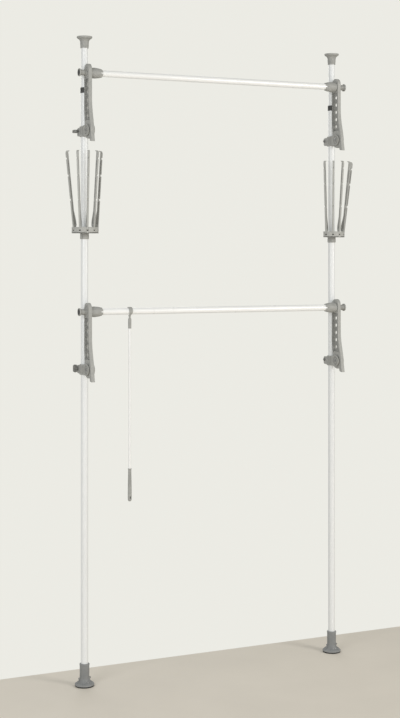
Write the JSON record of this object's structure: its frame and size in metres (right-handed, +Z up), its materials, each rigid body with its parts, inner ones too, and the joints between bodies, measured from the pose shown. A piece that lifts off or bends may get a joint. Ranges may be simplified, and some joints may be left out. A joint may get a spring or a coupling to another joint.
{
  "type": "floor-to-ceiling wardrobe rack",
  "caption": "Tension-pole wardrobe rack: telescopic poles, clothes rails on swing-down arms, folding fan holders and a hanging pull rod.",
  "frame": {"origin": "on the floor, at the middle of the rack's plan outline, between the two poles", "axes": "+Z up along the poles, +X to the right along the rails, the front of the rack and the swing-down direction face -Y"},
  "size_m": [1.273, 0.1386, 2.5],
  "materials": {
    "white_enamel": "satin white powder coat on steel tube",
    "white_rail": "gloss white enamel on steel tube",
    "grey_plastic": "moulded mid-grey plastic, fine grain",
    "blade_plastic": "moulded grey plastic, smooth",
    "knob_plastic": "moulded darker grey plastic",
    "dark_plastic": "moulded charcoal plastic",
    "rubber": "dark moulded rubber",
    "steel": "zinc-plated steel"
  },
  "bodies": {
    "poles": {"left_foot_pad": "rubber", "left_foot": "grey_plastic", "left_lower_tube": "white_enamel", "left_tube_lock": "dark_plastic", "right_foot_pad": "rubber", "right_foot": "grey_plastic", "right_lower_tube": "white_enamel", "right_tube_lock": "dark_plastic"},
    "left_upper_pole": {"left_upper_tube": "white_enamel", "left_ceiling_cap": "grey_plastic"},
    "right_upper_pole": {"right_upper_tube": "white_enamel", "right_ceiling_cap": "grey_plastic"},
    "upper_clamps": {"upper_left_clamp": "grey_plastic", "upper_left_pivot_pin": "steel", "upper_left_pinch_nut": "steel", "upper_right_clamp": "grey_plastic", "upper_right_pivot_pin": "steel", "upper_right_pinch_nut": "steel"},
    "upper_swing_rail": {"upper_left_arm": "grey_plastic", "upper_left_rail_socket": "grey_plastic", "upper_left_peg": "grey_plastic", "upper_right_arm": "grey_plastic", "upper_right_rail_socket": "grey_plastic", "upper_right_peg": "grey_plastic", "upper_rail": "white_rail"},
    "upper_left_wing": {"upper_left_wing_screw": "knob_plastic"},
    "upper_right_wing": {"upper_right_wing_screw": "knob_plastic"},
    "lower_clamps": {"lower_left_clamp": "grey_plastic", "lower_left_pivot_pin": "steel", "lower_left_pinch_nut": "steel", "lower_right_clamp": "grey_plastic", "lower_right_pivot_pin": "steel", "lower_right_pinch_nut": "steel"},
    "lower_swing_rail": {"lower_left_arm": "grey_plastic", "lower_left_rail_socket": "grey_plastic", "lower_left_peg": "grey_plastic", "lower_right_arm": "grey_plastic", "lower_right_rail_socket": "grey_plastic", "lower_right_peg": "grey_plastic", "lower_rail": "white_rail"},
    "lower_left_wing": {"lower_left_wing_screw": "knob_plastic"},
    "lower_right_wing": {"lower_right_wing_screw": "knob_plastic"},
    "left_fan_slider": {"left_fan_collar": "grey_plastic"},
    "left_fan": {"left_fan_hub": "grey_plastic"},
    "left_blade_1": {"left_fan_blade_1": "blade_plastic"},
    "left_blade_2": {"left_fan_blade_2": "blade_plastic"},
    "left_blade_3": {"left_fan_blade_3": "blade_plastic"},
    "left_blade_4": {"left_fan_blade_4": "blade_plastic"},
    "left_blade_5": {"left_fan_blade_5": "blade_plastic"},
    "right_fan_slider": {"right_fan_collar": "grey_plastic"},
    "right_fan": {"right_fan_hub": "grey_plastic"},
    "right_blade_1": {"right_fan_blade_1": "blade_plastic"},
    "right_blade_2": {"right_fan_blade_2": "blade_plastic"},
    "right_blade_3": {"right_fan_blade_3": "blade_plastic"},
    "right_blade_4": {"right_fan_blade_4": "blade_plastic"},
    "right_blade_5": {"right_fan_blade_5": "blade_plastic"},
    "pull_rod": {"pull_rod_hook": "grey_plastic", "pull_rod_ferrule": "grey_plastic", "pull_rod_tube": "white_rail", "pull_rod_grip": "grey_plastic"}
  },
  "joints": [
    {"name": "left_pole_height", "type": "slide", "parent": "poles", "child": "left_upper_pole", "axis": [0, 0, 1], "range_m": [-0.01, 0.2]},
    {"name": "right_pole_height", "type": "slide", "parent": "poles", "child": "right_upper_pole", "axis": [0, 0, 1], "range_m": [-0.01, 0.2]},
    {"name": "upper_clamp_height", "type": "slide", "parent": "poles", "child": "upper_clamps", "axis": [0, 0, 1], "range_m": [-0.008, 0.03]},
    {"name": "upper_rail_swing", "type": "hinge", "parent": "upper_clamps", "child": "upper_swing_rail", "pos_m": [0, -0.02825, 2.136], "axis": [1, 0, 0], "range_deg": [0, 82]},
    {"name": "upper_left_wing_turn", "type": "hinge", "parent": "upper_clamps", "child": "upper_left_wing", "pos_m": [-0.55, 0.05375, 2.136], "axis": [1, 0, 0], "continuous": true},
    {"name": "upper_right_wing_turn", "type": "hinge", "parent": "upper_clamps", "child": "upper_right_wing", "pos_m": [0.55, 0.05375, 2.136], "axis": [1, 0, 0], "continuous": true},
    {"name": "lower_clamp_height", "type": "slide", "parent": "poles", "child": "lower_clamps", "axis": [0, 0, 1], "range_m": [-0.3, 0.03]},
    {"name": "lower_rail_swing", "type": "hinge", "parent": "lower_clamps", "child": "lower_swing_rail", "pos_m": [0, -0.02825, 1.221], "axis": [1, 0, 0], "range_deg": [0, 82]},
    {"name": "lower_left_wing_turn", "type": "hinge", "parent": "lower_clamps", "child": "lower_left_wing", "pos_m": [-0.55, 0.05375, 1.221], "axis": [1, 0, 0], "continuous": true},
    {"name": "lower_right_wing_turn", "type": "hinge", "parent": "lower_clamps", "child": "lower_right_wing", "pos_m": [0.55, 0.05375, 1.221], "axis": [1, 0, 0], "continuous": true},
    {"name": "left_fan_height", "type": "slide", "parent": "poles", "child": "left_fan_slider", "axis": [0, 0, 1], "range_m": [-0.15, 0.008]},
    {"name": "left_fan_turn", "type": "hinge", "parent": "left_fan_slider", "child": "left_fan", "pos_m": [-0.55, 0.02575, 1.742], "axis": [0, 0, 1], "continuous": true},
    {"name": "left_blade_1_fold", "type": "hinge", "parent": "left_fan", "child": "left_blade_1", "pos_m": [-0.59755, 0.0103, 1.759], "axis": [0.309, -0.9511, 0], "range_deg": [0, 83]},
    {"name": "left_blade_2_fold", "type": "hinge", "parent": "left_fan", "child": "left_blade_2", "pos_m": [-0.58214, -0.01255, 1.759], "axis": [0.766, -0.6428, 0], "range_deg": [0, 84.2]},
    {"name": "left_blade_3_fold", "type": "hinge", "parent": "left_fan", "child": "left_blade_3", "pos_m": [-0.55696, -0.02376, 1.759], "axis": [0.9903, -0.1392, 0], "range_deg": [0, 85]},
    {"name": "left_blade_4_fold", "type": "hinge", "parent": "left_fan", "child": "left_blade_4", "pos_m": [-0.52966, -0.01993, 1.759], "axis": [0.9135, 0.4067, 0], "range_deg": [0, 85.8]},
    {"name": "left_blade_5_fold", "type": "hinge", "parent": "left_fan", "child": "left_blade_5", "pos_m": [-0.50855, -0.00221, 1.759], "axis": [0.5592, 0.829, 0], "range_deg": [0, 86.7]},
    {"name": "right_fan_height", "type": "slide", "parent": "poles", "child": "right_fan_slider", "axis": [0, 0, 1], "range_m": [-0.15, 0.008]},
    {"name": "right_fan_turn", "type": "hinge", "parent": "right_fan_slider", "child": "right_fan", "pos_m": [0.55, 0.02575, 1.733], "axis": [0, 0, 1], "continuous": true},
    {"name": "right_blade_1_fold", "type": "hinge", "parent": "right_fan", "child": "right_blade_1", "pos_m": [0.50855, -0.00221, 1.75], "axis": [0.5592, -0.829, 0], "range_deg": [0, 86.7]},
    {"name": "right_blade_2_fold", "type": "hinge", "parent": "right_fan", "child": "right_blade_2", "pos_m": [0.52966, -0.01993, 1.75], "axis": [0.9135, -0.4067, 0], "range_deg": [0, 85.8]},
    {"name": "right_blade_3_fold", "type": "hinge", "parent": "right_fan", "child": "right_blade_3", "pos_m": [0.55696, -0.02376, 1.75], "axis": [0.9903, 0.1392, 0], "range_deg": [0, 85]},
    {"name": "right_blade_4_fold", "type": "hinge", "parent": "right_fan", "child": "right_blade_4", "pos_m": [0.58214, -0.01255, 1.75], "axis": [0.766, 0.6428, 0], "range_deg": [0, 84.2]},
    {"name": "right_blade_5_fold", "type": "hinge", "parent": "right_fan", "child": "right_blade_5", "pos_m": [0.59755, 0.0103, 1.75], "axis": [0.309, 0.9511, 0], "range_deg": [0, 83]},
    {"name": "pull_rod_hang", "type": "hinge", "parent": "lower_swing_rail", "child": "pull_rod", "pos_m": [-0.378, -0.01325, 1.441], "axis": [1, 0, 0], "range_deg": [-82, 0]}
  ],
  "couplings": [
    {"joint": "pull_rod_hang", "follows": "lower_rail_swing", "ratio": -1}
  ]
}
